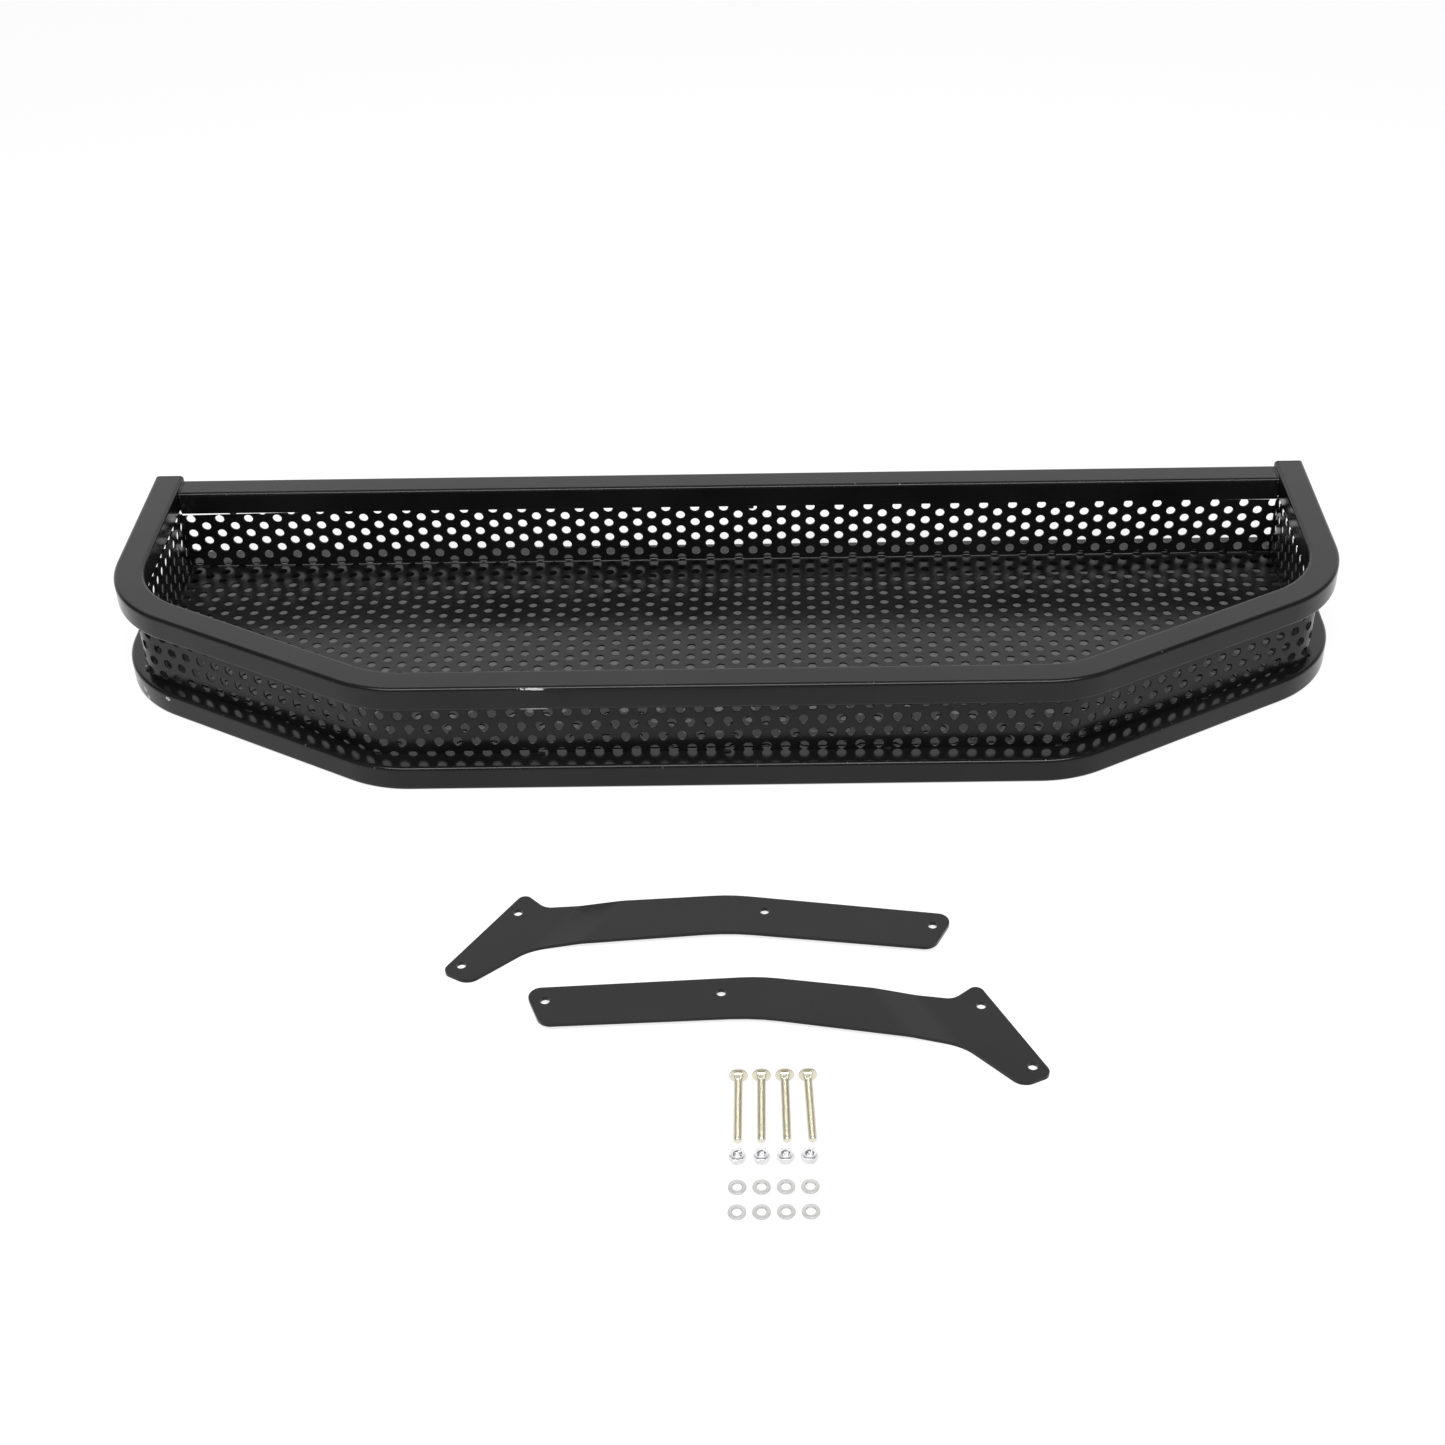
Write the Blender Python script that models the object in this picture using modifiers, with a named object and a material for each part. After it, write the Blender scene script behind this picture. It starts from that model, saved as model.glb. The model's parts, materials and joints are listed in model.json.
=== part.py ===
"""Steel cargo basket for the front of a utility vehicle, with its two bolt-on
bracket plates and its bag of M6 hardware, laid out on the floor as a kit.

Metres, +Z up, +X to the basket's right, +Y to its back. The origin is on the
floor, under the middle of the rear lower rail.
"""

import math

import bmesh
import bpy
from mathutils import Matrix, Vector

# ---------------------------------------------------------------- dimensions
GAP = 0.0003                # clearance kept between pieces that touch

TUBE_WIDTH = 0.025          # rectangular rail tube, outside
TUBE_HEIGHT = 0.022
TUBE_WALL = 0.0015
TUBE_EDGE = 0.003           # outside corner radius of the tube
BEND_RADIUS = 0.090         # centreline radius of every bend in the rails
SHEET = 0.0015              # perforated sheet thickness
FLOOR_TOP = 0.021           # the floor's upper face
REAR_WALL_TOP = 0.0775      # the rear wall laps this high over the rear top rail's face
FOLD_RADIUS = 0.002         # inside radius of the fold between the two

SIDE_X = 0.5055             # centreline of the side runs
SHOULDER_Y = -0.181         # where a side run's line meets the angled run's
FRONT_HALF = 0.2765         # half the front run, to where the angled run's line meets it
FRONT_Y = -0.3095           # centreline of the front run
RAIL_END_Y = 0.0125         # where the bent rails are cut off at the back

BASKET_HEIGHT = 0.100
TOP_RAIL_Z = BASKET_HEIGHT - TUBE_HEIGHT / 2     # centreline heights
LOWER_RAIL_Z = TUBE_HEIGHT / 2
REAR_RAIL_DROP = 0.0035     # the rear top rail sits this much below the bent one

STRIP_FRONT = (0.2827, -0.2978)     # corners of the side and front strip's middle
STRIP_SHOULDER = (0.4938, -0.1877)
STRIP_FRONT_RADIUS = 0.060
STRIP_SHOULDER_RADIUS = 0.025
FLOOR_EDGE_GAP = 0.001      # between the floor sheet and the rails beside it
PLUG_FLANGE = 0.0018
PLUG_STEM = 0.012           # how far the plug reaches into the tube
PLUG_CLEARANCE = 0.0006     # each side of the stem

BRACKET_THICKNESS = 0.003
BRACKET_HOLE = 0.007        # clears M6
BRACKET_STEP = 0.003        # the arm lies this much above the mounting pad
STEP_START = 0.035          # the step's two bend lines, from the pad's hole line
STEP_END = 0.060

BOLT_DIAMETER = 0.006
BOLT_LENGTH = 0.055         # under the head
BOLT_HEAD = 0.013
BOLT_HEAD_HEIGHT = 0.0035
BOLT_NECK = 0.004           # length of the square neck
NUT_ACROSS_FLATS = 0.010
NUT_HEIGHT = 0.005
NUT_BORE = 0.005
WASHER_OUTER = 0.012
WASHER_INNER = 0.0064
WASHER_THICKNESS = 0.0016

# Kit layout on the floor, turns in degrees
LEFT_BRACKET_AT = (0.0314, -0.4786)
LEFT_BRACKET_TURN = 0.0
RIGHT_BRACKET_AT = (0.0006, -0.5643)
RIGHT_BRACKET_TURN = -5.55
HARDWARE_X = 0.0136         # first of the four columns of fasteners
HARDWARE_PITCH = 0.0157
BOLT_HEAD_Y = -0.6423
BOLT_TURNS = (0.0, 0.0, 1.2, 2.4)
NUT_Y = -0.7135
NUT_TURNS = (38.0, 30.0, 28.0, 32.0)
WASHER_ROWS = (-0.7378, -0.7583)

ARC_STEP = math.radians(6.5)        # largest turn between two points of a bend
FOLD_STEPS = 6                      # flats in a 90 degree fold of a sheet
SMOOTH_BELOW = math.radians(35)     # edges flatter than this are shaded smooth


# ------------------------------------------------------------------ outlines
def fillet(points, radii, closed=True, step=ARC_STEP):
    """The polyline through points with each corner rounded to its radius."""
    result = []
    count = len(points)
    for index, (point, radius) in enumerate(zip(points, radii)):
        corner = Vector(point)
        if radius == 0 or (not closed and index in (0, count - 1)):
            result.append(corner)
            continue
        before = (Vector(points[index - 1]) - corner).normalized()
        after = (Vector(points[(index + 1) % count]) - corner).normalized()
        opening = before.angle(after)
        turn = math.pi - opening
        reach = radius / math.tan(opening / 2)
        centre = corner + (before + after).normalized() * radius / math.sin(opening / 2)
        start = corner + before * reach - centre
        across = Vector((-start.y, start.x))
        if across.dot(corner + after * reach - centre) < 0:
            across = -across
        steps = max(2, math.ceil(turn / step))
        for number in range(steps + 1):
            angle = turn * number / steps
            result.append(centre + start * math.cos(angle) + across * math.sin(angle))
    return result


def rail_corners(inset=0.0, end_y=RAIL_END_Y):
    """Corners of the bent rails' plan line, moved inwards by inset, from the
    left rear end round the front to the right rear end."""
    run = math.atan2(FRONT_Y - SHOULDER_Y, SIDE_X - FRONT_HALF)
    shoulder_turn = math.pi / 2 + run
    front_turn = -run
    side = SIDE_X - inset
    shoulder_y = SHOULDER_Y + inset * math.tan(shoulder_turn / 2)
    front_half = FRONT_HALF - inset * math.tan(front_turn / 2)
    front_y = FRONT_Y + inset
    right = [(front_half, front_y), (side, shoulder_y), (side, end_y)]
    return [(-x, y) for x, y in reversed(right)] + right


def rail_line(inset=0.0, end_y=RAIL_END_Y):
    radius = BEND_RADIUS - inset
    radii = [0, radius, radius, radius, radius, 0]
    return fillet(rail_corners(inset, end_y), radii, closed=False)


# --------------------------------------------------------------- mesh making
def material(name, colour, roughness, metallic):
    made = bpy.data.materials.new(name)
    made.use_nodes = True
    shader = made.node_tree.nodes["Principled BSDF"]
    shader.inputs["Base Color"].default_value = (*colour, 1)
    shader.inputs["Roughness"].default_value = roughness
    shader.inputs["Metallic"].default_value = metallic
    return made


def place(mesh, name, finish, smooth=False):
    made = bpy.data.objects.new(name, mesh)
    parts.objects.link(made)
    mesh.materials.clear()
    mesh.materials.append(finish)
    if smooth:
        mesh.shade_smooth()
        mesh.set_sharp_from_angle(angle=SMOOTH_BELOW)
    return made


def mesh_from_curve(curve, name):
    """The curve's evaluated mesh, with its loose caps welded on."""
    holder = bpy.data.objects.new(name, curve)
    bpy.context.scene.collection.objects.link(holder)
    bpy.context.view_layer.update()
    graph = bpy.context.evaluated_depsgraph_get()
    mesh = bpy.data.meshes.new_from_object(holder.evaluated_get(graph))
    bpy.data.objects.remove(holder)
    mesh.name = name
    work = bmesh.new()
    work.from_mesh(mesh)
    bmesh.ops.remove_doubles(work, verts=work.verts, dist=1e-6)
    bmesh.ops.recalc_face_normals(work, faces=work.faces)
    work.to_mesh(mesh)
    work.free()
    return mesh


def poly_spline(curve, points, closed):
    spline = curve.splines.new("POLY")
    spline.points.add(len(points) - 1)
    for knot, point in zip(spline.points, points):
        knot.co = (*point, 0, 1) if len(point) == 2 else (*point, 1)
    spline.use_cyclic_u = closed


def plate(name, outlines, thickness):
    """A flat plate lying on z = 0, from its outline and those of its holes."""
    curve = bpy.data.curves.new(name, "CURVE")
    curve.dimensions = "2D"
    curve.fill_mode = "BOTH"
    curve.extrude = thickness / 2
    for outline in outlines:
        poly_spline(curve, outline, closed=True)
    mesh = mesh_from_curve(curve, name)
    mesh.transform(Matrix.Translation((0, 0, thickness / 2)))
    return mesh


def circle(centre, diameter, sides):
    return [
        (centre[0] + diameter / 2 * math.cos(turn), centre[1] + diameter / 2 * math.sin(turn))
        for turn in (math.tau * number / sides for number in range(sides))
    ]


def rail_tube(name, path, finish):
    """A hollow rectangular tube swept along path, open at both ends."""
    across, up = TUBE_WIDTH / 2, TUBE_HEIGHT / 2
    profile = bpy.data.curves.new(name + "_profile", "CURVE")
    profile.dimensions = "2D"
    corners = [(-across, -up), (across, -up), (across, up), (-across, up)]
    poly_spline(profile, fillet(corners, [TUBE_EDGE] * 4, step=math.radians(45)), closed=True)
    section = bpy.data.objects.new(name + "_profile", profile)
    section.hide_render = True
    section.display_type = "WIRE"
    cutters.objects.link(section)
    sweep = bpy.data.curves.new(name, "CURVE")
    sweep.dimensions = "3D"
    sweep.twist_mode = "Z_UP"
    sweep.bevel_mode = "OBJECT"
    sweep.bevel_object = section
    sweep.use_fill_caps = False
    poly_spline(sweep, [(x, y, 0) for x, y in path], closed=False)
    made = place(mesh_from_curve(sweep, name), name, finish, smooth=True)
    wall = made.modifiers.new("wall", "SOLIDIFY")
    wall.thickness = TUBE_WALL
    wall.offset = -1
    wall.use_even_offset = True
    return made


def wall_strip(name, path, height, finish):
    """A sheet standing on edge along path: an open ribbon with Solidify."""
    work = bmesh.new()
    foot = [work.verts.new((x, y, 0)) for x, y in path]
    for first, second in zip(foot, foot[1:]):
        work.edges.new((first, second))
    raised = bmesh.ops.extrude_edge_only(work, edges=work.edges)
    bmesh.ops.translate(
        work,
        verts=[piece for piece in raised["geom"] if isinstance(piece, bmesh.types.BMVert)],
        vec=(0, 0, height),
    )
    mesh = bpy.data.meshes.new(name)
    work.to_mesh(mesh)
    work.free()
    made = place(mesh, name, finish, smooth=True)
    sheet = made.modifiers.new("sheet", "SOLIDIFY")
    sheet.thickness = SHEET
    sheet.offset = 0
    sheet.use_even_offset = True
    return made


# -------------------------------------------------------------------- basket
def build_rails():
    for name, height in (("top_rail", TOP_RAIL_Z), ("lower_rail", LOWER_RAIL_Z)):
        rail_tube(name, rail_line(), black).location.z = height
    reach = SIDE_X - TUBE_WIDTH / 2 - GAP
    rear_heights = {
        "rear_top_rail": TOP_RAIL_Z - REAR_RAIL_DROP,
        "rear_lower_rail": LOWER_RAIL_Z,
    }
    for name, height in rear_heights.items():
        rail_tube(name, [(-reach, 0), (reach, 0)], black).location.z = height


def build_plugs():
    """Plastic plugs in the cut ends of the bent rails."""
    step = TUBE_WALL + PLUG_CLEARANCE
    for rail, height in (("top_rail", TOP_RAIL_Z), ("lower_rail", LOWER_RAIL_Z)):
        for side, sign in (("left", -1), ("right", 1)):
            work = bmesh.new()
            flange = bmesh.ops.create_cube(work, size=1)["verts"]
            bmesh.ops.scale(work, verts=flange, vec=(TUBE_WIDTH, PLUG_FLANGE, TUBE_HEIGHT))
            inner = min(work.faces, key=lambda face: face.calc_center_median().y)
            bmesh.ops.inset_individual(work, faces=[inner], thickness=step, use_even_offset=True)
            end = bmesh.ops.extrude_discrete_faces(work, faces=[inner])["faces"][0]
            bmesh.ops.translate(work, verts=end.verts, vec=(0, -PLUG_STEM, 0))
            bmesh.ops.recalc_face_normals(work, faces=work.faces)
            name = f"{rail}_plug_{side}"
            mesh = bpy.data.meshes.new(name)
            work.to_mesh(mesh)
            work.free()
            plug = place(mesh, name, plastic)
            plug.location = (sign * SIDE_X, RAIL_END_Y + GAP + PLUG_FLANGE / 2, height)


def build_floor_and_rear():
    """One sheet: the floor, folded up along its rear edge into the rear wall.
    It is drawn flat, with y along the sheet, and each point is then folded."""
    name = "floor_and_rear_panel"
    wall_face = -TUBE_WIDTH / 2 - GAP - SHEET
    fold_start = wall_face - FOLD_RADIUS
    fold_length = math.pi / 2 * (FOLD_RADIUS + SHEET / 2)
    wall_foot = FLOOR_TOP + FOLD_RADIUS
    rear_edge = fold_start + fold_length + REAR_WALL_TOP - wall_foot
    outline = rail_line(TUBE_WIDTH / 2 + FLOOR_EDGE_GAP, end_y=rear_edge)
    mesh = plate(name, [outline], SHEET)
    work = bmesh.new()
    work.from_mesh(mesh)
    for number in range(FOLD_STEPS + 1):
        bmesh.ops.bisect_plane(
            work,
            geom=work.verts[:] + work.edges[:] + work.faces[:],
            plane_co=(0, fold_start + fold_length * number / FOLD_STEPS, 0),
            plane_no=(0, 1, 0),
        )
    for vert in work.verts:
        x, y, z = vert.co
        past = y - fold_start
        turn = math.pi / 2 * min(max(past / fold_length, 0), 1)
        radius = FOLD_RADIUS + SHEET - z
        vert.co = (
            x,
            fold_start + radius * math.sin(turn) + min(past, 0),
            wall_foot - radius * math.cos(turn) + max(past - fold_length, 0),
        )
    bmesh.ops.triangulate(work, faces=work.faces)
    work.to_mesh(mesh)
    work.free()
    place(mesh, name, sheet_black)


def build_front_and_sides():
    """One strip round the sides and the front, standing on the lower rail."""
    rear_end = (STRIP_SHOULDER[0], SHEET - TUBE_WIDTH / 2)
    right = [STRIP_FRONT, STRIP_SHOULDER, rear_end]
    corners = [(-x, y) for x, y in reversed(right)] + right
    right_radii = [STRIP_FRONT_RADIUS, STRIP_SHOULDER_RADIUS, 0]
    path = fillet(corners, right_radii[::-1] + right_radii, closed=False)
    foot = TUBE_HEIGHT + GAP
    height = BASKET_HEIGHT - TUBE_HEIGHT - GAP - foot
    wall_strip("front_side_panel", path, height, sheet_black).location.z = foot


# ------------------------------------------------------------------ brackets
# The arm's middle hole is the bracket's origin. x runs along the arm to its
# plain end, and the slanted pad with two holes is at the other end.
ARM_END_HOLE = (0.1233, -0.0179)
PAD_UPPER_HOLE = (-0.1836, 0.0049)
PAD_LOWER_HOLE = (-0.2194, -0.0511)
BRACKET_CORNERS = [         # x, y, corner radius
    (-0.1808, 0.0268, 0.006),       # pad tip
    (-0.1640, 0.0098, 0.012),       # upper neck
    (-0.0252, 0.0186, 0.120),       # bend, upper edge
    (0.1406, -0.0070, 0.009),       # plain end, upper corner
    (0.1227, -0.0415, 0.011),       # plain end, lower corner
    (-0.0261, -0.0207, 0.160),      # bend, lower edge
    (-0.1710, -0.0335, 0.035),      # lower neck
    (-0.2127, -0.0690, 0.012),      # pad foot, inner corner
    (-0.2331, -0.0570, 0.006),      # pad foot, outer corner
]


def build_bracket(name, at, turn, mirrored):
    corners = [(x, y) for x, y, _ in BRACKET_CORNERS]
    outline = fillet(corners, [radius for _, _, radius in BRACKET_CORNERS], step=math.radians(12))
    holes = [
        circle(centre, BRACKET_HOLE, 16)
        for centre in ((0, 0), ARM_END_HOLE, PAD_UPPER_HOLE, PAD_LOWER_HOLE)
    ]
    mesh = plate(name, [outline, *holes], BRACKET_THICKNESS)
    upper = Vector(PAD_UPPER_HOLE)
    along = (upper - Vector(PAD_LOWER_HOLE)).normalized()
    across = Vector((along.y, -along.x, 0))
    work = bmesh.new()
    work.from_mesh(mesh)
    for distance in (STEP_START, STEP_END):
        bmesh.ops.bisect_plane(
            work,
            geom=work.verts[:] + work.edges[:] + work.faces[:],
            plane_co=upper.to_3d() + across * distance,
            plane_no=across,
        )
    for vert in work.verts:
        past = (vert.co - upper.to_3d()).dot(across)
        climb = (past - STEP_START) / (STEP_END - STEP_START)
        vert.co.z += BRACKET_STEP * min(max(climb, 0), 1)
    if mirrored:
        bmesh.ops.scale(work, verts=work.verts, vec=(-1, 1, 1))
        bmesh.ops.reverse_faces(work, faces=work.faces)
    bmesh.ops.triangulate(work, faces=work.faces)
    work.to_mesh(mesh)
    work.free()
    bracket = place(mesh, name, black)
    bracket.location = (*at, GAP)
    bracket.rotation_euler.z = math.radians(turn)


# ------------------------------------------------------------------ hardware
def turned(name, profile, sides, finish):
    """A solid of revolution about z. The profile runs down the outer side."""
    work = bmesh.new()
    points = [work.verts.new((x, 0, z)) for x, z in profile]
    for first, second in zip(points, points[1:]):
        work.edges.new((first, second))
    mesh = bpy.data.meshes.new(name)
    work.to_mesh(mesh)
    work.free()
    made = place(mesh, name, finish)
    lathe = made.modifiers.new("turn", "SCREW")
    lathe.steps = lathe.render_steps = sides
    lathe.use_merge_vertices = True
    lathe.merge_threshold = 1e-5
    lathe.use_smooth_shade = True
    return made


def build_bolts():
    """Cup-head bolts with a square neck, lying on the rim of the head."""
    radius = BOLT_HEAD / 2
    dome = (radius**2 + BOLT_HEAD_HEIGHT**2) / (2 * BOLT_HEAD_HEIGHT)
    shank = BOLT_DIAMETER / 2
    lean = math.asin((radius - shank) / BOLT_LENGTH)
    rim = 0.0006
    chamfer = 0.0008
    steps = 5
    profile = [(0, BOLT_HEAD_HEIGHT)]
    for number in range(1, steps + 1):
        x = radius * number / steps
        z = BOLT_HEAD_HEIGHT - dome + math.sqrt(dome**2 - x**2)
        profile.append((x, rim + z * (1 - rim / BOLT_HEAD_HEIGHT)))
    profile += [
        (radius, 0),
        (shank, 0),
        (shank, chamfer - BOLT_LENGTH),
        (shank - chamfer, -BOLT_LENGTH),
        (0, -BOLT_LENGTH),
    ]
    for number, turn in enumerate(BOLT_TURNS):
        name = f"bolt_{number + 1}"
        bolt = turned(name, profile, 16, zinc_yellow)
        neck = bmesh.new()
        bmesh.ops.create_cube(neck, size=1)
        bmesh.ops.scale(neck, verts=neck.verts, vec=(BOLT_DIAMETER, BOLT_DIAMETER, BOLT_NECK))
        bmesh.ops.translate(neck, verts=neck.verts, vec=(0, 0, -BOLT_NECK / 2 + rim / 2))
        neck_mesh = bpy.data.meshes.new(name + "_neck")
        neck.to_mesh(neck_mesh)
        neck.free()
        cutter = bpy.data.objects.new(name + "_neck", neck_mesh)
        cutter.hide_render = True
        cutter.display_type = "WIRE"
        cutters.objects.link(cutter)
        cutter.parent = bolt
        joined = bolt.modifiers.new("neck", "BOOLEAN")
        joined.operation = "UNION"
        joined.object = cutter
        # The head faces +Y, and the axis dips towards the shank's end
        bolt.rotation_euler = (lean - math.pi / 2, 0, math.radians(turn))
        bolt.location = (
            HARDWARE_X + number * HARDWARE_PITCH,
            BOLT_HEAD_Y - BOLT_HEAD_HEIGHT,
            radius * math.cos(lean) + GAP,
        )


def build_nuts():
    across_corners = NUT_ACROSS_FLATS / math.cos(math.pi / 6)
    for number, turn in enumerate(NUT_TURNS):
        name = f"nut_{number + 1}"
        outlines = [circle((0, 0), across_corners, 6), circle((0, 0), NUT_BORE, 18)]
        mesh = plate(name, outlines, NUT_HEIGHT)
        nut = place(mesh, name, zinc_bright)
        nut.location = (HARDWARE_X + number * HARDWARE_PITCH, NUT_Y, GAP)
        nut.rotation_euler.z = math.radians(turn)


def build_washers():
    for row, y in enumerate(WASHER_ROWS):
        for column in range(len(BOLT_TURNS)):
            name = f"washer_{row * len(BOLT_TURNS) + column + 1}"
            outlines = [circle((0, 0), WASHER_OUTER, 24), circle((0, 0), WASHER_INNER, 24)]
            mesh = plate(name, outlines, WASHER_THICKNESS)
            washer = place(mesh, name, zinc_dull)
            washer.location = (HARDWARE_X + column * HARDWARE_PITCH, y, GAP)


# --------------------------------------------------------------------- build
for old in list(bpy.data.objects):
    bpy.data.objects.remove(old, do_unlink=True)
parts = bpy.data.collections.new("cargo_basket")
cutters = bpy.data.collections.new("construction")
for group in (parts, cutters):
    bpy.context.scene.collection.children.link(group)

black = material("powder_coat_black", (0.0062, 0.0062, 0.0066), 0.28, 0.0)
sheet_black = material("sheet_powder_coat_black", (0.0058, 0.0058, 0.0062), 0.32, 0.0)
plastic = material("plug_plastic_black", (0.012, 0.012, 0.012), 0.5, 0.0)
zinc_yellow = material("zinc_yellow", (0.62, 0.58, 0.45), 0.32, 1.0)
zinc_bright = material("zinc_bright", (0.68, 0.68, 0.68), 0.25, 1.0)
zinc_dull = material("zinc_dull", (0.55, 0.55, 0.54), 0.42, 1.0)

build_rails()
build_plugs()
build_floor_and_rear()
build_front_and_sides()
build_bracket("bracket_left", LEFT_BRACKET_AT, LEFT_BRACKET_TURN, mirrored=False)
build_bracket("bracket_right", RIGHT_BRACKET_AT, RIGHT_BRACKET_TURN, mirrored=True)
build_bolts()
build_nuts()
build_washers()
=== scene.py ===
import json
import math
import random

import bmesh
import bpy
from mathutils import Matrix, Vector


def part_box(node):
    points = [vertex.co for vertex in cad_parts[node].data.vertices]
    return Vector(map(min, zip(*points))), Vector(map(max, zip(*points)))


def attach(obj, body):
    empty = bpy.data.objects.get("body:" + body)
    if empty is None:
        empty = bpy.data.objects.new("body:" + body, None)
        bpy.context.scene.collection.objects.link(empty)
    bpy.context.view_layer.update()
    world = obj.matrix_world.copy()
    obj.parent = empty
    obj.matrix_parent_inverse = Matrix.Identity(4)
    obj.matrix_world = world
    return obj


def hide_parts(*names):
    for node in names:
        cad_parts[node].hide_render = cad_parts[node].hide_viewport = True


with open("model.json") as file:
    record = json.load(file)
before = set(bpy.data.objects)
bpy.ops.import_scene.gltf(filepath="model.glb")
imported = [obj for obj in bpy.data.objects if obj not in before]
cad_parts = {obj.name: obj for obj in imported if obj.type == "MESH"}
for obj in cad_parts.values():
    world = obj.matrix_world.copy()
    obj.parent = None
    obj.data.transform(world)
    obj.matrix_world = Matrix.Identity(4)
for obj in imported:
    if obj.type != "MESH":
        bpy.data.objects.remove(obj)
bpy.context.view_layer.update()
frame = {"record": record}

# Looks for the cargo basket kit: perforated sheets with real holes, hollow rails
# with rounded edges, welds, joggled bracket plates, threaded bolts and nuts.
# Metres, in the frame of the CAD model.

random.seed(7)

# ---------------------------------------------------------------- dimensions
SIDE_X = 0.5055             # plan of the bent rails' centreline, as in the CAD source
SHOULDER_Y = -0.181
FRONT_HALF = 0.2765
FRONT_Y = -0.3095
BEND_RADIUS = 0.090
TUBE_WALL = 0.0015
TUBE_EDGE = 0.003
SHEET = 0.0015
FOLD_RADIUS = 0.002         # inside the fold between the floor and the rear wall
FLOOR_EDGE_GAP = 0.001

RAIL_LOW, RAIL_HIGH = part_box("rear_lower_rail")
TUBE_WIDTH = RAIL_HIGH.y - RAIL_LOW.y
TUBE_HEIGHT = RAIL_HIGH.z - RAIL_LOW.z
INNER = TUBE_WIDTH / 2

HOLE_PITCH = 0.015
HOLE_DIAMETER = 0.008
HOLE_SIDES = 24             # a multiple of 6
HOLE_CHAMFER = 0.00035
CELL_SPAN = 90              # cells each way from the origin, past the longest sheet's ends

STEEL_AND_HIGHLIGHT = (0.42, 0.42, 0.41)  # bare steel in nicked and chipped paint, also used for a painted highlight
EDGE_ATTRIBUTE = "edge"     # 1 in the middle of a rail's rounded edge, 0 on its flats
EDGE_STEPS = 6              # flats round a rail's edge
EDGE_SUPPORT = 0.0004       # how far inside a flat its first point lies


# ------------------------------------------------------------------ outlines
def fillet(points, radii, step, closed=True):
    """The polyline through points with each corner rounded to its radius."""
    result = []
    count = len(points)
    for index, (point, radius) in enumerate(zip(points, radii)):
        corner = Vector(point)
        if radius == 0 or (not closed and index in (0, count - 1)):
            result.append(corner)
            continue
        before = (Vector(points[index - 1]) - corner).normalized()
        after = (Vector(points[(index + 1) % count]) - corner).normalized()
        opening = before.angle(after)
        turn = math.pi - opening
        reach = radius / math.tan(opening / 2)
        centre = corner + (before + after).normalized() * radius / math.sin(opening / 2)
        start = corner + before * reach - centre
        across = Vector((-start.y, start.x))
        if across.dot(corner + after * reach - centre) < 0:
            across = -across
        steps = max(2, math.ceil(turn / step))
        for number in range(steps + 1):
            angle = turn * number / steps
            result.append(centre + start * math.cos(angle) + across * math.sin(angle))
    return result


def rail_line(inset, end_y, step=math.radians(3)):
    """The bent rails' plan line moved inwards by inset, left rear to right rear."""
    run = math.atan2(FRONT_Y - SHOULDER_Y, SIDE_X - FRONT_HALF)
    side = SIDE_X - inset
    shoulder_y = SHOULDER_Y + inset * math.tan((math.pi / 2 + run) / 2)
    front_half = FRONT_HALF + inset * math.tan(run / 2)
    right = [(front_half, FRONT_Y + inset), (side, shoulder_y), (side, end_y)]
    corners = [(-x, y) for x, y in reversed(right)] + right
    radius = BEND_RADIUS - inset
    return fillet(corners, [0] + [radius] * 4 + [0], step, closed=False)


def sides_of(outline):
    """(point, outward normal) of each side of a convex outline drawn clockwise
    or anticlockwise."""
    centre = sum(outline, Vector((0, 0))) / len(outline)
    sides = []
    for first, second in zip(outline, outline[1:] + outline[:1]):
        along = second - first
        if along.length < 1e-6:
            continue
        normal = Vector((along.y, -along.x)).normalized()
        if normal.dot(first - centre) < 0:
            normal = -normal
        sides.append((first, normal))
    return sides


# --------------------------------------------------------------- node making
def new_material(name):
    made = bpy.data.materials.new(name)
    made.use_nodes = True
    return made, made.node_tree, made.node_tree.nodes["Principled BSDF"]


def add(tree, kind, values=None, **settings):
    made = tree.nodes.new("ShaderNode" + kind)
    for key, value in settings.items():
        setattr(made, key, value)
    for key, value in (values or {}).items():
        if isinstance(value, bpy.types.NodeSocket):
            tree.links.new(value, made.inputs[key])
        else:
            made.inputs[key].default_value = value
    return made


def noise(tree, coordinates, scale, detail=2.0, roughness=0.5):
    values = {"Vector": coordinates, "Scale": scale, "Detail": detail, "Roughness": roughness}
    return add(tree, "TexNoise", values).outputs["Fac"]


def remap(tree, value, low, high, to_low=0.0, to_high=1.0):
    values = {0: value, 1: low, 2: high, 3: to_low, 4: to_high}
    return add(tree, "MapRange", values).outputs[0]


def calculate(tree, operation, first, second=0.0):
    return add(tree, "Math", {0: first, 1: second}, operation=operation).outputs[0]


def blend_colours(tree, factor, first, second):
    values = {0: factor}
    for key, value in ((6, first), (7, second)):
        linked = isinstance(value, bpy.types.NodeSocket)
        values[key] = value if linked else (*value, 1)
    return add(tree, "Mix", values, data_type="RGBA").outputs[2]


def bumped(tree, shader, height, distance):
    bump = add(tree, "Bump", {"Height": height, "Distance": distance, "Strength": 1.0})
    tree.links.new(bump.outputs["Normal"], shader.inputs["Normal"])


def near(tree, position, centre, reach):
    """1 at centre, falling to 0 at reach along each axis."""
    offset = add(tree, "VectorMath", {0: position, 1: centre}, operation="SUBTRACT").outputs[0]
    scaled = add(tree, "VectorMath", {0: offset, 1: reach}, operation="DIVIDE").outputs[0]
    length = add(tree, "VectorMath", {0: scaled}, operation="LENGTH").outputs["Value"]
    return calculate(tree, "MAXIMUM", calculate(tree, "SUBTRACT", 1.0, length), 0.0)


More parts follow.
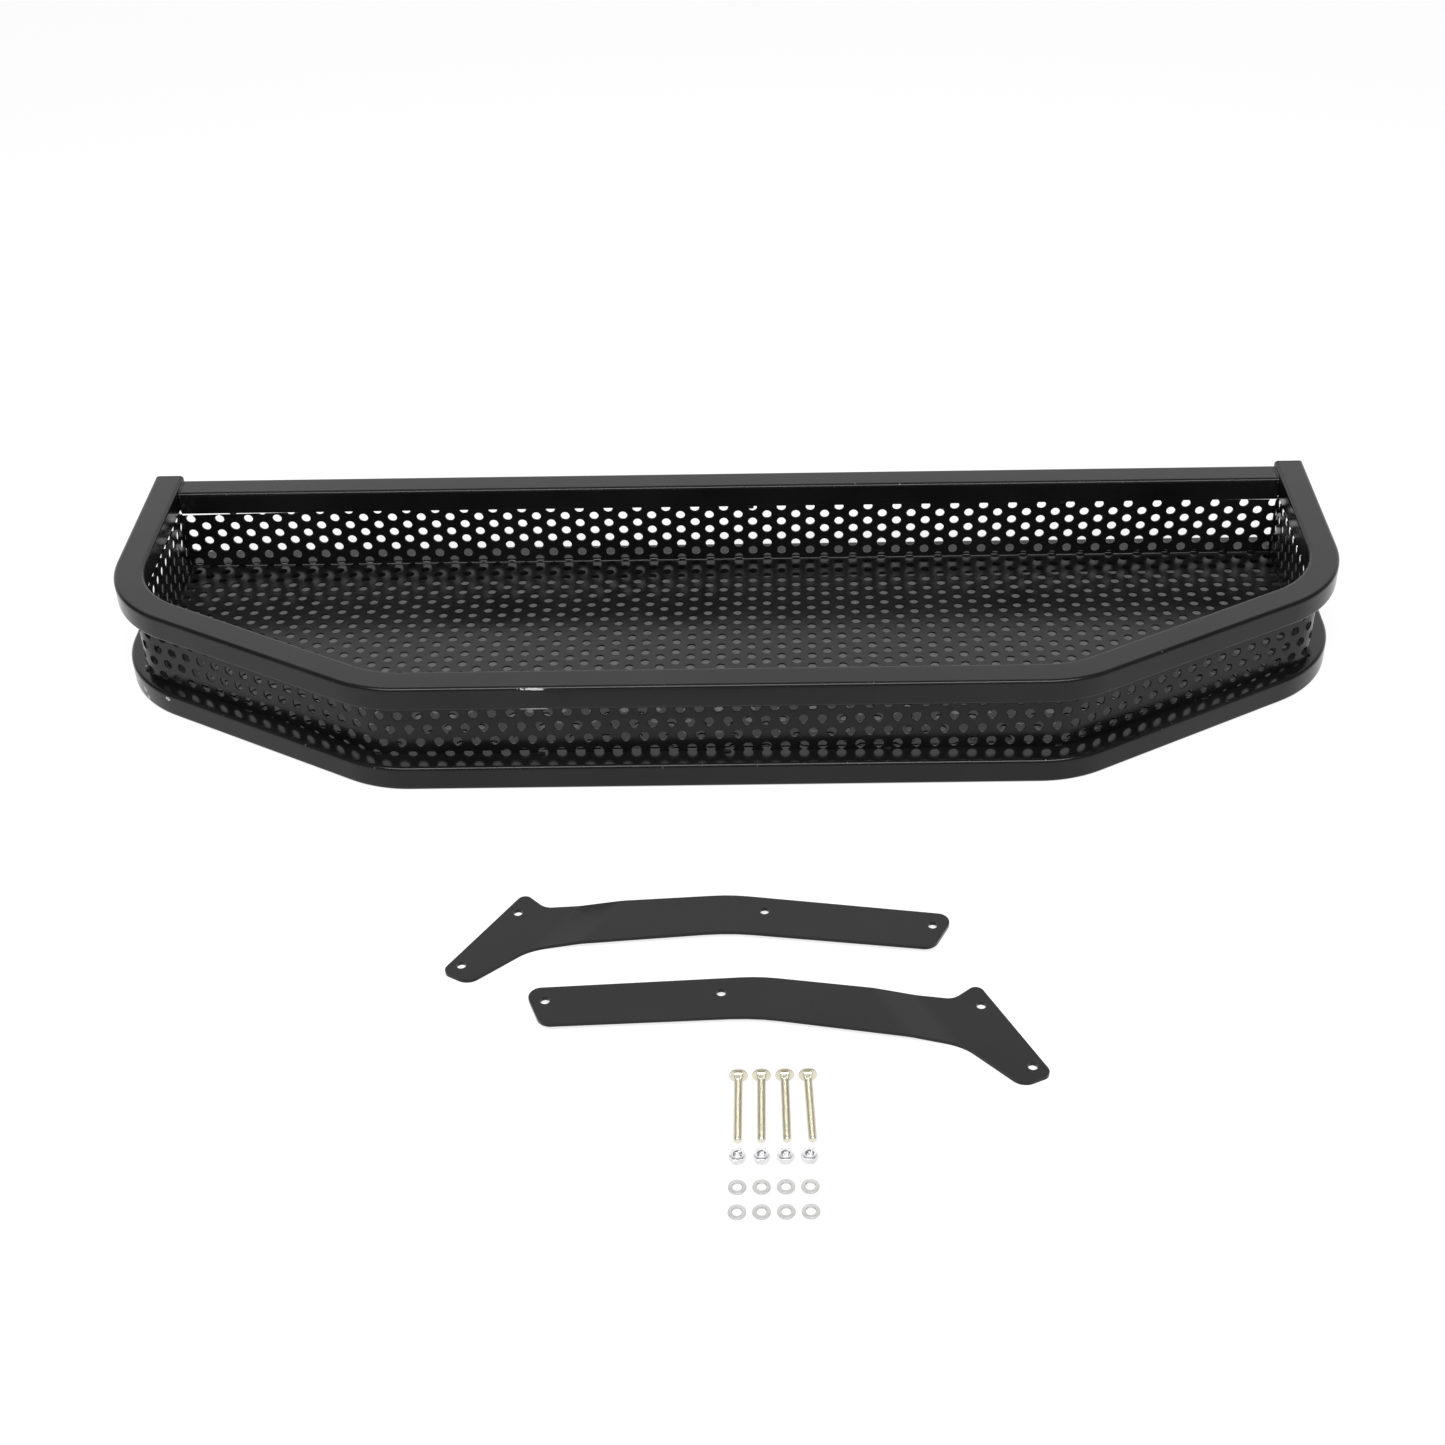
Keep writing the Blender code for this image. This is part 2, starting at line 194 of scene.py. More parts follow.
def powder_coat(name, colour, roughness, peel, specular, chips_and_highlights=()):
    """Satin black powder coat: orange peel, uneven gloss, nicked paint along the edges
    and, at given places, chipped paint down to bare steel and a painted highlight."""
    made, tree, shader = new_material(name)
    position = add(tree, "TexCoord").outputs["Object"]
    shader.inputs["Specular IOR Level"].default_value = specular
    cloud = noise(tree, position, 14.0, 3.0)
    fine = noise(tree, position, 260.0, 2.0)
    mottle = calculate(tree, "ADD", calculate(tree, "MULTIPLY", fine, 0.35), cloud)
    gloss = remap(tree, mottle, 0.45, 0.95, roughness - 0.05, roughness + 0.07)
    tone = remap(tree, cloud, 0.3, 0.7)
    paler = tuple(value * 1.5 + 0.001 for value in colour)
    base = blend_colours(tree, tone, colour, paler)
    worn = remap(tree, noise(tree, position, 330.0, 4.0, 0.7), 0.68, 0.72)
    edge = add(tree, "Attribute", attribute_name=EDGE_ATTRIBUTE).outputs["Fac"]
    wear_and_highlight = calculate(tree, "MULTIPLY", worn, edge)
    # Painted steel at each given spot: chipped paint and scratches, and also a painted highlight
    for centre, reach in chips_and_highlights:
        spot = near(tree, position, centre, reach)
        ragged = calculate(tree, "ADD", spot, noise(tree, position, 420.0, 3.0, 0.65))
        wear_and_highlight = calculate(tree, "MAXIMUM", wear_and_highlight, remap(tree, ragged, 0.98, 1.04))
    base = blend_colours(tree, wear_and_highlight, base, STEEL_AND_HIGHLIGHT)
    gloss = add(tree, "Mix", {0: wear_and_highlight, 2: gloss, 3: 0.45}, data_type="FLOAT").outputs[0]
    tree.links.new(base, shader.inputs["Base Color"])
    tree.links.new(gloss, shader.inputs["Roughness"])
    peel_height = noise(tree, position, 620.0, 2.0, 0.4)
    bumped(tree, shader, calculate(tree, "SUBTRACT", peel_height, wear_and_highlight), peel)
    return made


def plating(name, colour, tint, roughness):
    """Zinc plating with patches of tint and a fine grain."""
    made, tree, shader = new_material(name)
    position = add(tree, "TexCoord").outputs["Object"]
    shader.inputs["Metallic"].default_value = 1.0
    patches = remap(tree, noise(tree, position, 160.0, 3.0), 0.35, 0.65)
    tree.links.new(blend_colours(tree, patches, colour, tint), shader.inputs["Base Color"])
    grain = noise(tree, position, 1500.0, 3.0, 0.6)
    gloss = remap(tree, grain, 0.3, 0.7, roughness - 0.06, roughness + 0.1)
    tree.links.new(gloss, shader.inputs["Roughness"])
    bumped(tree, shader, grain, 6e-6)
    return made


def moulded_plastic(name):
    made, tree, shader = new_material(name)
    position = add(tree, "TexCoord").outputs["Object"]
    grain = noise(tree, position, 1800.0, 2.0)
    tone = remap(tree, noise(tree, position, 90.0), 0.35, 0.65)
    colour = blend_colours(tree, tone, (0.009, 0.009, 0.009), (0.014, 0.014, 0.014))
    tree.links.new(colour, shader.inputs["Base Color"])
    tree.links.new(remap(tree, grain, 0.3, 0.7, 0.46, 0.6), shader.inputs["Roughness"])
    bumped(tree, shader, grain, 1.5e-5)
    return made


# --------------------------------------------------------------- mesh making
SMOOTH_BELOW = math.radians(32)
MERGE_DISTANCE = 1e-6


def stand_for(node, mesh, finish, body, name=None):
    """Puts mesh in the scene, riding on a body, in place of a CAD node if one is given."""
    made = bpy.data.objects.new(name or node + "_finished", mesh)
    bpy.context.scene.collection.objects.link(made)
    mesh.materials.clear()
    mesh.materials.append(finish)
    mesh.shade_smooth()
    mesh.set_sharp_from_angle(angle=SMOOTH_BELOW)
    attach(made, body)
    if node:
        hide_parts(node)
    return made


def mesh_of(name, points, faces, edge_weights=None):
    mesh = bpy.data.meshes.new(name)
    mesh.from_pydata(points, [], faces)
    if edge_weights is not None:
        weights = mesh.attributes.new(EDGE_ATTRIBUTE, "FLOAT", "POINT")
        weights.data.foreach_set("value", edge_weights)
    work = bmesh.new()
    work.from_mesh(mesh)
    bmesh.ops.recalc_face_normals(work, faces=work.faces)
    work.to_mesh(mesh)
    work.free()
    return mesh


def everything(work):
    return work.verts[:] + work.edges[:] + work.faces[:]


def cut_across(work, at, normal, clear=False):
    """Cuts a mesh along a plane, and clears what lies past it if clear is set."""
    bmesh.ops.bisect_plane(
        work, geom=everything(work), plane_co=at, plane_no=normal, clear_outer=clear
    )


def thicken(work, back_height):
    """Closes an open sheet with a copy at back_height, a function of a point's height."""
    rim = [edge for edge in work.edges if len(edge.link_faces) == 1]
    copied = bmesh.ops.duplicate(work, geom=everything(work))
    back_of = copied["vert_map"]
    for item in copied["geom"]:
        if isinstance(item, bmesh.types.BMVert):
            item.co.z = back_height(item.co.z)
    for edge in rim:
        a, b = edge.verts
        work.faces.new((a, b, back_of[b], back_of[a]))


def rounded_section(width, height, radius):
    """A rounded rectangle as (x, z, edge weight), with a point just inside each
    end of the flats so that they shade flat."""
    section = []
    for quarter, (sx, sz) in enumerate(((1, 1), (-1, 1), (-1, -1), (1, -1))):
        centre = Vector((sx * (width / 2 - radius), sz * (height / 2 - radius)))
        first = quarter * math.pi / 2
        start = centre + radius * Vector((math.cos(first), math.sin(first)))
        finish = centre + radius * Vector((-math.sin(first), math.cos(first)))
        lead_in = EDGE_SUPPORT * Vector((-math.sin(first), math.cos(first)))
        lead_out = EDGE_SUPPORT * Vector((-math.cos(first), -math.sin(first)))
        section.append((*(start - lead_in), 0.0))
        for number in range(EDGE_STEPS + 1):
            angle = first + math.pi / 2 * number / EDGE_STEPS
            point = centre + radius * Vector((math.cos(angle), math.sin(angle)))
            weight = math.sin(math.pi * number / EDGE_STEPS)
            section.append((*point, weight))
        section.append((*(finish + lead_out), 0.0))
    return section


def sweep_tube(name, path, height):
    """Rail tube swept along a plan path at a height, hollow and open at both ends."""
    outer = rounded_section(TUBE_WIDTH, TUBE_HEIGHT, TUBE_EDGE)
    inner = rounded_section(
        TUBE_WIDTH - 2 * TUBE_WALL, TUBE_HEIGHT - 2 * TUBE_WALL, TUBE_EDGE - TUBE_WALL
    )
    points, weights, faces = [], [], []
    count = len(outer)
    rings = []
    for index, point in enumerate(path):
        ahead = path[min(index + 1, len(path) - 1)] - point
        behind = point - path[max(index - 1, 0)]
        if index == 0:
            behind = ahead
        if index == len(path) - 1:
            ahead = behind
        along = (ahead.normalized() + behind.normalized()).normalized()
        across = Vector((along.y, -along.x)) / along.dot(ahead.normalized())
        ring = []
        for section in (outer, inner):
            ring.append(len(points))
            for x, z, weight in section:
                spot = point + across * x
                points.append((spot.x, spot.y, height + z))
                weights.append(weight if section is outer else 0.0)
        rings.append(ring)
    for first, second in zip(rings, rings[1:]):
        for shell in (0, 1):
            for k in range(count):
                n = (k + 1) % count
                faces.append(
                    (first[shell] + k, first[shell] + n, second[shell] + n, second[shell] + k)
                )
    for ring in (rings[0], rings[-1]):
        for k in range(count):
            n = (k + 1) % count
            faces.append((ring[0] + k, ring[0] + n, ring[1] + n, ring[1] + k))
    return mesh_of(name, points, faces, weights)


def perforated(name, origin, row_angle, sides, place_point, chamfer=0.0, folds=()):
    """A perforated sheet. The pattern is laid out flat in (u, v) as hexagonal
    cells, cut to the convex outline that sides give and across at each height v
    in folds, thickened, and each point (u, v, depth) is then put in place by
    place_point. Depth is 0 at the face and -SHEET at the back."""
    radius = HOLE_DIAMETER / 2
    reach = HOLE_PITCH / math.sqrt(3)
    third = math.pi / 3
    first = HOLE_PITCH * Vector((math.cos(row_angle), math.sin(row_angle)))
    second = HOLE_PITCH * Vector((math.cos(row_angle + third), math.sin(row_angle + third)))
    corner_turn = row_angle + math.pi / 6

    def ring(centre, size, count, depth):
        for k in range(count):
            angle = corner_turn + math.tau * k / count
            yield (centre.x + size * math.cos(angle), centre.y + size * math.sin(angle), depth)

    per_corner = HOLE_SIDES // 6
    lip, wall = 6, 6 + HOLE_SIDES
    cell_faces = []
    for k in range(HOLE_SIDES):
        n = (k + 1) % HOLE_SIDES
        corner = ((k + per_corner // 2) // per_corner) % 6
        next_corner = ((k + 1 + per_corner // 2) // per_corner) % 6
        cell_faces.append((lip + k, corner, lip + n))
        if next_corner != corner:
            cell_faces.append((corner, next_corner, lip + n))
        if chamfer:
            cell_faces.append((lip + k, lip + n, wall + n, wall + k))
    points, faces = [], []
    for i in range(-CELL_SPAN, CELL_SPAN + 1):
        for j in range(-CELL_SPAN, CELL_SPAN + 1):
            centre = origin + first * i + second * j
            if any((centre - at).dot(normal) > reach for at, normal in sides):
                continue
            start = len(points)
            points += ring(centre, reach, 6, 0.0)
            points += ring(centre, radius + chamfer, HOLE_SIDES, 0.0)
            if chamfer:
                points += ring(centre, radius, HOLE_SIDES, -chamfer)
            faces += [tuple(start + v for v in face) for face in cell_faces]
    mesh = bpy.data.meshes.new(name)
    mesh.from_pydata(points, [], faces)
    work = bmesh.new()
    work.from_mesh(mesh)
    bmesh.ops.remove_doubles(work, verts=work.verts, dist=MERGE_DISTANCE)
    for at, normal in sides:
        cut_across(work, at.to_3d(), normal.to_3d(), clear=True)
    for v in folds:
        cut_across(work, (0, v, 0), (0, 1, 0))
    bmesh.ops.remove_doubles(work, verts=work.verts, dist=2 * MERGE_DISTANCE)
    bmesh.ops.dissolve_degenerate(work, edges=work.edges, dist=MERGE_DISTANCE)
    thicken(work, lambda height: -SHEET - height)
    for vert in work.verts:
        vert.co = place_point(*vert.co)
    bmesh.ops.recalc_face_normals(work, faces=work.faces)
    work.to_mesh(mesh)
    work.free()
    return mesh


# ------------------------------------------------------------------ finishes
# Chips, scratches and a painted highlight: where, and how far they reach along each axis
LOWER_LEFT_CHIPS_AND_HIGHLIGHT = (
    ((-0.4952, -0.1926, 0.0108), (0.0052, 0.0052, 0.0050)),
    ((-0.4927, -0.1957, 0.0052), (0.0046, 0.0046, 0.0040)),
    ((-0.4697, -0.2153, 0.0172), (0.0050, 0.0050, 0.0036)),
    # A painted highlight, not a chip: bare steel colour on the tack at the strip's left rear foot
    # stands in for light glinting off it
    ((-0.4950, -0.1750, 0.0230), (0.0040, 0.0040, 0.0036)),
)
FRONT_SCRATCHES = (
    ((-0.1460, -0.3215, 0.0985), (0.0200, 0.0030, 0.0016)),
    ((-0.1475, -0.3215, 0.0795), (0.0210, 0.0030, 0.0016)),
)
tube_black = powder_coat(
    "powder_coat_black", (0.0044, 0.0044, 0.0048), roughness=0.18, peel=1.6e-5, specular=0.25,
    chips_and_highlights=LOWER_LEFT_CHIPS_AND_HIGHLIGHT + FRONT_SCRATCHES,
)
sheet_black = powder_coat(
    "sheet_powder_coat_black", (0.0044, 0.0044, 0.0049), roughness=0.22, peel=1.6e-5, specular=0.24
)
plastic = moulded_plastic("plug_plastic_black")
zinc_yellow = plating("zinc_yellow", (0.70, 0.68, 0.54), (0.74, 0.70, 0.60), 0.34)
zinc_bright = plating("zinc_bright", (0.72, 0.72, 0.73), (0.64, 0.64, 0.66), 0.22)
zinc_dull = plating("zinc_dull", (0.56, 0.56, 0.55), (0.62, 0.62, 0.61), 0.40)

# -------------------------------------------------------------------- basket
rail_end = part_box("top_rail")[1].y
for node in ("top_rail", "lower_rail"):
    low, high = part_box(node)
    mesh = sweep_tube(node, rail_line(0, rail_end), (low.z + high.z) / 2)
    stand_for(node, mesh, tube_black, "basket")
for node in ("rear_top_rail", "rear_lower_rail"):
    low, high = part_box(node)
    mesh = sweep_tube(node, [Vector((low.x, 0)), Vector((high.x, 0))], (low.z + high.z) / 2)
    stand_for(node, mesh, tube_black, "basket")

# Floor and rear wall: one sheet, laid out flat with v along it and then folded up
folded_low, folded_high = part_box("floor_and_rear_panel")
floor_z = folded_low.z + SHEET
rear_wall_y = folded_high.y - SHEET
fold_start = rear_wall_y - FOLD_RADIUS
fold_length = math.pi / 2 * (FOLD_RADIUS + SHEET / 2)
wall_foot = floor_z + FOLD_RADIUS
rear_edge = fold_start + fold_length + folded_high.z - wall_foot
SLIT_LEFT, SLIT_RIGHT = 0.0030, 0.0018      # how far the wall's top drops to its corners
SLIT_START = 0.300                          # and from which x
FOLDED_ORIGIN = Vector((0.0084, -0.0116))   # a hole's place in the flat sheet
FOLDED_ROWS = math.radians(90 - 0.33)       # and the direction of a row
FOLD_STEPS = 8
folded_outline = rail_line(INNER + FLOOR_EDGE_GAP, rear_edge, step=math.radians(7))
folded_outline[0].y -= SLIT_LEFT
folded_outline[-1].y -= SLIT_RIGHT
folded_outline += [Vector((SLIT_START, rear_edge)), Vector((-SLIT_START, rear_edge))]


def on_fold(u, v, depth):
    """Flat on the floor up to the fold, then round it and up the rear wall."""
    past = v - fold_start
    turn = math.pi / 2 * min(max(past / fold_length, 0), 1)
    radius = FOLD_RADIUS - depth
    y = fold_start + radius * math.sin(turn) + min(past, 0)
    z = wall_foot - radius * math.cos(turn) + max(past - fold_length, 0)
    return u, y, z


mesh = perforated(
    "floor_and_rear_panel", FOLDED_ORIGIN, FOLDED_ROWS, sides_of(folded_outline), on_fold,
    folds=[fold_start + fold_length * step / FOLD_STEPS for step in range(FOLD_STEPS + 1)],
)
stand_for(
    "floor_and_rear_panel", mesh, sheet_black, "basket"
)

# Side and front strip: u runs along its middle surface from the front's middle
STRIP_FRONT, STRIP_FRONT_RADIUS = (0.2750, -0.3018), 0.060
STRIP_SHOULDER, STRIP_SHOULDER_RADIUS = (0.4938, -0.1877), 0.025
STRIP_ORIGIN = Vector((-0.1091, 0.0362))
STRIP_ROWS = math.radians(0.94)
strip_low, strip_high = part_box("front_side_panel")
right_corners = [STRIP_FRONT, STRIP_SHOULDER, (STRIP_SHOULDER[0], strip_high.y)]
right_radii = [STRIP_FRONT_RADIUS, STRIP_SHOULDER_RADIUS, 0]
strip_path = fillet(
    [(-x, y) for x, y in reversed(right_corners)] + right_corners,
    right_radii[::-1] + right_radii, math.radians(2), closed=False,
)
strip_lengths = [0.0]
for before, after in zip(strip_path, strip_path[1:]):
    strip_lengths.append(strip_lengths[-1] + (after - before).length)
strip_half = strip_lengths[-1] / 2
strip_normals = []
for index in range(len(strip_path)):
    along = strip_path[min(index + 1, len(strip_path) - 1)] - strip_path[max(index - 1, 0)]
    strip_normals.append(Vector((along.y, -along.x)).normalized())


def on_strip(u, v, depth):
    """Upright on the strip's path, at height v."""
    run = min(max(u + strip_half, 0.0), 2 * strip_half)
    index = 0
    for index, reached in enumerate(strip_lengths[1:]):
        if reached >= run:
            break
    share = (run - strip_lengths[index]) / (strip_lengths[index + 1] - strip_lengths[index])
    spot = strip_path[index].lerp(strip_path[index + 1], share)
    normal = strip_normals[index].lerp(strip_normals[index + 1], share).normalized()
    spot = spot + normal * (depth + SHEET / 2)
    return spot.x, spot.y, v


strip_outline = [
    Vector((-strip_half, strip_low.z)),
    Vector((strip_half, strip_low.z)),
    Vector((strip_half, strip_high.z)),
    Vector((-strip_half, strip_high.z)),
]
mesh = perforated(
    "front_side_panel", STRIP_ORIGIN, STRIP_ROWS, sides_of(strip_outline), on_strip, HOLE_CHAMFER
)
stand_for("front_side_panel", mesh, sheet_black, "basket")


# --------------------------------------------------------------------- welds
BEAD_RIPPLE = 0.0016        # from one ripple to the next
BEAD_AROUND = 10
BEAD_DEPTH = 0.14           # how deep the ripples are, as a share of the bead
BEAD_UNEVEN = 0.04
TACK_WIDTH, TACK_HEIGHT = 0.0036, 0.0016


def bead(points, faces, start, end, width, height):
    """Adds a closed weld bead with ripples between two points to a mesh's lists."""
    start, end = Vector(start), Vector(end)
    along = (end - start).normalized()
    side = along.cross(Vector((0, 0, 1)))
    side = side.normalized() if side.length > 0.1 else Vector((0, 1, 0))
    up = side.cross(along)
    length = (end - start).length
    rings = max(5, int(length / (BEAD_RIPPLE / 4)))
    base = len(points)
    for number in range(rings + 1):
        share = number / rings
        ends = math.sqrt(max(0.0, 1 - (2 * share - 1) ** 8))
        ripple = abs(math.sin(math.pi * share * length / BEAD_RIPPLE))
        wave = 1 - BEAD_DEPTH + BEAD_DEPTH * ripple
        size = max(0.04, ends) * wave * random.uniform(1 - BEAD_UNEVEN, 1 + BEAD_UNEVEN)
        centre = start.lerp(end, share)
        for k in range(BEAD_AROUND):
            angle = math.tau * k / BEAD_AROUND
            spot = centre + side * width / 2 * size * math.cos(angle)
            points.append(spot + up * height * size * math.sin(angle))
    last = base + rings * BEAD_AROUND
    for first in range(base, last, BEAD_AROUND):
        second = first + BEAD_AROUND
        for k in range(BEAD_AROUND):
            n = (k + 1) % BEAD_AROUND
            faces.append((first + k, first + n, second + n, second + k))
    faces.append(tuple(base + k for k in range(BEAD_AROUND)))
    faces.append(tuple(last + k for k in range(BEAD_AROUND)))


# Beads across and up the joints between the rear rails and the bent rails
points, faces = [], []
for rear_node in ("rear_top_rail", "rear_lower_rail"):
    low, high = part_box(rear_node)
    for joint in (low.x, high.x):
        for z in (low.z + 0.0013, high.z - 0.0002):
            start, end = (joint, low.y + 0.003, z), (joint, high.y - 0.002, z)
            bead(points, faces, start, end, 0.0042, 0.0011)
        x = joint + math.copysign(0.0008, -joint)
        for y in (low.y + 0.0003, high.y - 0.0003):
            start, end = (x, y, low.z + TUBE_EDGE), (x, y, high.z - TUBE_EDGE)
            bead(points, faces, start, end, 0.0022, 0.0016)
stand_for(
    None, mesh_of("corner_welds", points, faces), tube_black, "basket",
    name="corner_welds",
)

# Tacks along the foot of the side and front strip (x, y, turn in degrees), beads down
# the corners where it meets the rear wall, and tacks at the wall's top
STRIP_TACKS = (
    (0.0015, -0.3040, 0), (0.131, -0.3035, 0), (-0.148, -0.3040, 0),
    (0.268, -0.3025, 8), (-0.279, -0.3020, -8),
    (0.3950, -0.2415, 28), (-0.3950, -0.2415, -28),
    (0.4945, -0.1780, 70), (-0.4945, -0.1780, -70),
)
WALL_TACKS = (-0.446, 0.02, 0.30)
points, faces = [], []


def tack(x, y, z, turn, length):
    """Adds a short bead, turned from the x axis."""
    reach = Vector((math.cos(turn), math.sin(turn), 0)) * length / 2
    centre = Vector((x, y, z))
    bead(points, faces, centre - reach, centre + reach, TACK_WIDTH, TACK_HEIGHT)


for x, y, turn in STRIP_TACKS:
    tack(x, y, strip_low.z + 0.0003, math.radians(turn), 0.007)
for x in (-folded_high.x - 0.0005, folded_high.x + 0.0005):
    y = rear_wall_y + SHEET / 2
    start, end = (x, y, floor_z + 0.001), (x, y, folded_high.z - 0.001)
    bead(points, faces, start, end, 0.0030, 0.0013)
for x in WALL_TACKS:
    tack(x, rear_wall_y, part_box("rear_top_rail")[0].z + 0.0015, 0.0, 0.006)
stand_for(
    None, mesh_of("tack_welds", points, faces), tube_black, "basket",
    name="tack_welds",
)

# --------------------------------------------------------------------- plugs
PLUG_STEM_INSET = 0.0021    # the stem's sides, from the tube's outside
PLUG_STEM_LENGTH = 0.010
PLUG_HEAD_START = 0.0003


def plug_mesh(name):
    """A stem inside the tube and a head with softened edges over its end."""
    low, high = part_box(name)
    centre = (low + high) / 2
    head_start = rail_end + PLUG_HEAD_START
    rows = [                # y, inset from the tube's outside, corner radius
        (rail_end - PLUG_STEM_LENGTH - 0.001, PLUG_STEM_INSET + 0.0006, 0.0010),
        (rail_end - PLUG_STEM_LENGTH, PLUG_STEM_INSET, 0.0012),
        (head_start, PLUG_STEM_INSET, 0.0012),
        (head_start, 0.0, TUBE_EDGE),
        (high.y - 0.0007, 0.0, TUBE_EDGE),
        (high.y - 0.0002, 0.0004, TUBE_EDGE - 0.0004),
        (high.y, 0.0012, TUBE_EDGE - 0.001),
    ]
    points, faces = [], []
    for y, inset, radius in rows:
        section = rounded_section(TUBE_WIDTH - 2 * inset, TUBE_HEIGHT - 2 * inset, radius)
        points += [(centre.x + x, y, centre.z + z) for x, z, _ in section]
    count = len(section)
    last = (len(rows) - 1) * count
    for first in range(0, last, count):
        second = first + count
        for k in range(count):
            n = (k + 1) % count
            faces.append((first + k, first + n, second + n, second + k))
    faces.append(tuple(range(count)))
    faces.append(tuple(last + k for k in range(count)))
    return mesh_of(name, points, faces)


for node in frame["record"]["behaviour"]["bodies"]["basket"]:
    if "plug" in node:
        stand_for(node, plug_mesh(node), plastic, "basket")

# ------------------------------------------------------------------ brackets
BRACKET_CORNERS = [
    (-0.1808, 0.0268, 0.006), (-0.1640, 0.0098, 0.012), (-0.0252, 0.0186, 0.120),
    (0.1406, -0.0070, 0.009), (0.1227, -0.0415, 0.011), (-0.0261, -0.0207, 0.160),
    (-0.1710, -0.0335, 0.035), (-0.2127, -0.0690, 0.012), (-0.2331, -0.0570, 0.006),
]
BRACKET_HOLES = ((0, 0), (0.1233, -0.0179), (-0.1836, 0.0049), (-0.2194, -0.0511))
BRACKET_HOLE = 0.007
BRACKET_THICKNESS = 0.003
STEP_HEIGHT, STEP_START, STEP_END = 0.003, 0.035, 0.060     # the joggle, from the pad's holes
STEP_BEND = 0.006           # the length over which each of its two bends turns
STEP_CUTS = 20
BRACKET_PLACES = {
    "bracket_left": ((0.0314, -0.4786), 0.0, 1),
    "bracket_right": ((0.0006, -0.5643), -5.55, -1),
}


def step_rise(past):
    """The joggle's rise at a distance past the pad's holes, from 0 to 1."""
    climb = (past - STEP_START) / (STEP_END - STEP_START)
    ease = STEP_BEND / (STEP_END - STEP_START)
    if climb < -ease / 2:
        return 0.0
    if climb < ease / 2:
        return (climb + ease / 2) ** 2 / (2 * ease)
    if climb < 1 - ease / 2:
        return climb
    if climb < 1 + ease / 2:
        return 1 - (1 + ease / 2 - climb) ** 2 / (2 * ease)
    return 1.0


def bracket_mesh(name, at, turn, hand):
    """A bracket plate: its outline and holes as a filled curve, thickened and stepped."""
    curve = bpy.data.curves.new(name, "CURVE")
    curve.dimensions = "2D"
    curve.fill_mode = "BOTH"
    corners = [(x, y) for x, y, _ in BRACKET_CORNERS]
    outline = fillet(corners, [radius for _, _, radius in BRACKET_CORNERS], math.radians(5))
    loops = [outline]
    for x, y in BRACKET_HOLES:
        loops.append([
            Vector((x, y)) + BRACKET_HOLE / 2 * Vector((math.cos(a), math.sin(a)))
            for a in (math.tau * k / 36 for k in range(36))
        ])
    for loop in loops:
        spline = curve.splines.new("POLY")
        spline.points.add(len(loop) - 1)
        for knot, point in zip(spline.points, loop):
            knot.co = (*point, 0, 1)
        spline.use_cyclic_u = True
    holder = bpy.data.objects.new(name, curve)
    bpy.context.scene.collection.objects.link(holder)
    bpy.context.view_layer.update()
    graph = bpy.context.evaluated_depsgraph_get()
    mesh = bpy.data.meshes.new_from_object(holder.evaluated_get(graph))
    bpy.data.objects.remove(holder)
    work = bmesh.new()
    work.from_mesh(mesh)
    bmesh.ops.remove_doubles(work, verts=work.verts, dist=MERGE_DISTANCE)
    bmesh.ops.dissolve_limit(work, angle_limit=0.01, verts=work.verts, edges=work.edges)
    upper, lower = Vector(BRACKET_HOLES[2]), Vector(BRACKET_HOLES[3])
    along = (upper - lower).normalized()
    across = Vector((along.y, -along.x, 0))
    beyond = 0.004
    reach = STEP_END - STEP_START + 2 * beyond
    for number in range(STEP_CUTS + 1):
        distance = STEP_START - beyond + reach * number / STEP_CUTS
        cut_across(work, upper.to_3d() + across * distance, across)
    bmesh.ops.triangulate(work, faces=work.faces)
    bmesh.ops.recalc_face_normals(work, faces=work.faces)
    thicken(work, lambda height: BRACKET_THICKNESS)
    for vert in work.verts:
        past = (Vector((vert.co.x, vert.co.y, 0)) - upper.to_3d()).dot(across)
        vert.co.z += STEP_HEIGHT * step_rise(past)
    if hand < 0:
        bmesh.ops.scale(work, verts=work.verts, vec=(-1, 1, 1))
    bmesh.ops.recalc_face_normals(work, faces=work.faces)
    work.to_mesh(mesh)
    work.free()
    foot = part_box(name)[0].z
    mesh.transform(
        Matrix.Translation((*at, foot)) @ Matrix.Rotation(math.radians(turn), 4, "Z")
    )
    return mesh


for node, (at, turn, hand) in BRACKET_PLACES.items():
    plate = stand_for(
        node, bracket_mesh(node, at, turn, hand), tube_black, node
    )
    bevel = plate.modifiers.new("edges", "BEVEL")
    bevel.width = 0.00035
    bevel.segments = 2
    bevel.limit_method = "ANGLE"
    bevel.angle_limit = math.radians(50)
    bevel.harden_normals = True


# ------------------------------------------------------------------ fasteners
def radial_mesh(name, rings, around, closed_column=False):
    """A closed mesh from rings of (radius function of the angle, height function
    of the angle). The first and last rings are joined if closed_column is set,
    and are capped otherwise."""
    points, faces = [], []
    for radius, height in rings:
        for k in range(around):
            angle = math.tau * k / around
            r = radius(angle)
            points.append((r * math.cos(angle), r * math.sin(angle), height(angle)))
    pairs = list(zip(range(len(rings)), range(1, len(rings))))
    if closed_column:
        pairs.append((len(rings) - 1, 0))
    for first, second in pairs:
        for k in range(around):
            n = (k + 1) % around
            a, b = first * around, second * around
            faces.append((a + k, a + n, b + n, b + k))
    if not closed_column:
        faces.append(tuple(range(around)))
        last = (len(rings) - 1) * around
        faces.append(tuple(last + k for k in range(around)))
    return mesh_of(name, points, faces)


def constant(value):
    return lambda angle: value


THREAD_PITCH = 0.001
THREAD_DEPTH = 0.00055


